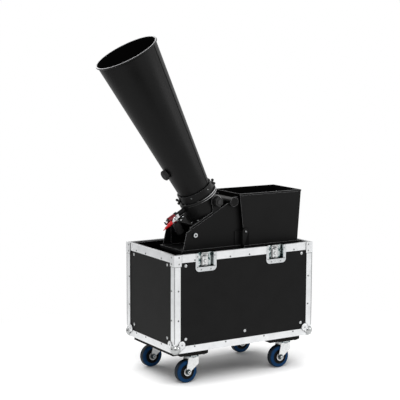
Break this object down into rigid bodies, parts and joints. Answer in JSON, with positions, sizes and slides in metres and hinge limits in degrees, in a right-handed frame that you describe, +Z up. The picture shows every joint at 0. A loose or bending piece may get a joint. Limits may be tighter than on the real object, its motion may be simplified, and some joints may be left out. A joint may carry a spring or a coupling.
{
  "type": "confetti blower",
  "caption": "Confetti blower: a leaning conical barrel tilts between cheek plates beside an open hopper, in the lower half of a black flight case on swivel castors.",
  "frame": {"origin": "middle of the whole object's footprint, on the floor", "axes": "+Z up, +X along the case towards the hopper's end, +Y to the case's rear, -Y to the latches"},
  "size_m": [0.9652, 0.434, 1.4757],
  "materials": {
    "ply": "black textured plywood",
    "aluminium": "satin",
    "zinc": "bright zinc",
    "chrome": "polished",
    "black_paint": "satin black powder coat",
    "red_paint": "gloss, with a vinyl grip",
    "rubber": "matte",
    "tyre": "blue elastic rubber",
    "plastic": "satin"
  },
  "bodies": {
    "case_and_stand": {"case_panel_front": "ply", "case_panel_rear": "ply", "case_panel_left": "ply", "case_panel_right": "ply", "case_floor": "ply", "case_deck": "ply", "castor_plank_left": "ply", "castor_plank_right": "ply", "edge_frame_bottom": "aluminium", "rim_frame": "aluminium", "rim_front_middle": "aluminium", "case_corner_front_left": "zinc", "case_corner_front_right": "zinc", "case_corner_rear_left": "zinc", "case_corner_rear_right": "zinc", "latch_dish_left": "zinc", "latch_dish_right": "zinc", "cheek_front": "black_paint", "pivot_bracket_front": "black_paint", "hopper_lug_front": "black_paint", "cheek_bolt_front": "zinc", "cheek_rear": "black_paint", "pivot_bracket_rear": "black_paint", "hopper_lug_rear": "black_paint", "cheek_bolt_rear": "zinc", "machine_plinth": "black_paint", "cross_tube": "black_paint", "hopper_shell": "black_paint", "feed_chute": "black_paint"},
    "tilting_barrel": {"barrel_cone": "black_paint", "barrel_bumper": "rubber", "collar": "black_paint", "flange_gasket": "rubber", "venturi_chamber": "black_paint", "chamber_base": "black_paint", "gas_stub": "black_paint", "gas_valve_body": "chrome", "gas_hose_tail": "chrome", "solenoid_coil": "plastic"},
    "lever": {"valve_lever": "red_paint"},
    "knob_front": {"tilt_knob_front": "plastic"},
    "knob_rear": {"tilt_knob_rear": "plastic"},
    "wing_left": {"wing_screw_left": "plastic"},
    "claw_left": {"latch_claw_left": "zinc"},
    "butterfly_left": {"latch_butterfly_left": "zinc"},
    "wing_right": {"wing_screw_right": "plastic"},
    "claw_right": {"latch_claw_right": "zinc"},
    "butterfly_right": {"latch_butterfly_right": "zinc"},
    "fork_front_left": {"castor_fork_front_left": "zinc"},
    "wheel_front_left": {"wheel_core_front_left": "plastic", "tyre_front_left": "tyre"},
    "fork_front_right": {"castor_fork_front_right": "zinc"},
    "wheel_front_right": {"wheel_core_front_right": "plastic", "tyre_front_right": "tyre"},
    "fork_rear_left": {"castor_fork_rear_left": "zinc"},
    "wheel_rear_left": {"wheel_core_rear_left": "plastic", "tyre_rear_left": "tyre"},
    "fork_rear_right": {"castor_fork_rear_right": "zinc"},
    "wheel_rear_right": {"wheel_core_rear_right": "plastic", "tyre_rear_right": "tyre"}
  },
  "joints": [
    {"name": "barrel_tilt", "type": "hinge", "parent": "case_and_stand", "child": "tilting_barrel", "pos_m": [0.0346, -0.022, 0.766], "axis": [0, 1, 0], "range_deg": [-15.6, 29.4]},
    {"name": "valve_lever_turn", "type": "hinge", "parent": "tilting_barrel", "child": "lever", "pos_m": [-0.13389, -0.022, 0.69631], "axis": [0, 1, 0], "range_deg": [0, 90]},
    {"name": "tilt_knob_front_turn", "type": "hinge", "parent": "tilting_barrel", "child": "knob_front", "pos_m": [0.0346, -0.112, 0.766], "axis": [0, -1, 0], "range_deg": [0, 360]},
    {"name": "tilt_knob_rear_turn", "type": "hinge", "parent": "tilting_barrel", "child": "knob_rear", "pos_m": [0.0346, 0.068, 0.766], "axis": [0, 1, 0], "range_deg": [0, 360]},
    {"name": "wing_screw_right_turn", "type": "hinge", "parent": "tilting_barrel", "child": "wing_right", "pos_m": [-0.02099, -0.022, 0.80355], "axis": [0.8375, -0.2756, 0.4719], "range_deg": [0, 360]},
    {"name": "wing_screw_left_turn", "type": "hinge", "parent": "tilting_barrel", "child": "wing_left", "pos_m": [-0.02099, -0.022, 0.80355], "axis": [-0.8375, 0.2756, -0.4719], "range_deg": [0, 360]},
    {"name": "latch_left_turn", "type": "hinge", "parent": "case_and_stand", "child": "butterfly_left", "pos_m": [-0.0824, -0.2, 0.532], "axis": [0, -1, 0], "range_deg": [0, 180]},
    {"name": "latch_left_claw", "type": "slide", "parent": "case_and_stand", "child": "claw_left", "axis": [0, 0, 1], "range_m": [0, 0.012]},
    {"name": "latch_right_turn", "type": "hinge", "parent": "case_and_stand", "child": "butterfly_right", "pos_m": [0.2796, -0.2, 0.532], "axis": [0, -1, 0], "range_deg": [0, 180]},
    {"name": "latch_right_claw", "type": "slide", "parent": "case_and_stand", "child": "claw_right", "axis": [0, 0, 1], "range_m": [0, 0.012]},
    {"name": "castor_front_left_swivel", "type": "hinge", "parent": "case_and_stand", "child": "fork_front_left", "pos_m": [-0.1204, -0.152, 0.118], "axis": [0, 0, 1], "continuous": true},
    {"name": "wheel_front_left_spin", "type": "hinge", "parent": "fork_front_left", "child": "wheel_front_left", "pos_m": [-0.1484, -0.152, 0.05], "axis": [0, 1, 0], "continuous": true},
    {"name": "castor_front_right_swivel", "type": "hinge", "parent": "case_and_stand", "child": "fork_front_right", "pos_m": [0.3636, -0.152, 0.118], "axis": [0, 0, 1], "continuous": true},
    {"name": "wheel_front_right_spin", "type": "hinge", "parent": "fork_front_right", "child": "wheel_front_right", "pos_m": [0.3356, -0.152, 0.05], "axis": [0, 1, 0], "continuous": true},
    {"name": "castor_rear_left_swivel", "type": "hinge", "parent": "case_and_stand", "child": "fork_rear_left", "pos_m": [-0.1204, 0.152, 0.118], "axis": [0, 0, 1], "continuous": true},
    {"name": "wheel_rear_left_spin", "type": "hinge", "parent": "fork_rear_left", "child": "wheel_rear_left", "pos_m": [-0.1484, 0.152, 0.05], "axis": [0, 1, 0], "continuous": true},
    {"name": "castor_rear_right_swivel", "type": "hinge", "parent": "case_and_stand", "child": "fork_rear_right", "pos_m": [0.3636, 0.152, 0.118], "axis": [0, 0, 1], "continuous": true},
    {"name": "wheel_rear_right_spin", "type": "hinge", "parent": "fork_rear_right", "child": "wheel_rear_right", "pos_m": [0.3356, 0.152, 0.05], "axis": [0, 1, 0], "continuous": true}
  ],
  "couplings": [
    {"joint": "latch_left_claw", "follows": "latch_left_turn", "m_per_rad": 0.0038197},
    {"joint": "latch_right_claw", "follows": "latch_right_turn", "m_per_rad": 0.0038197}
  ]
}
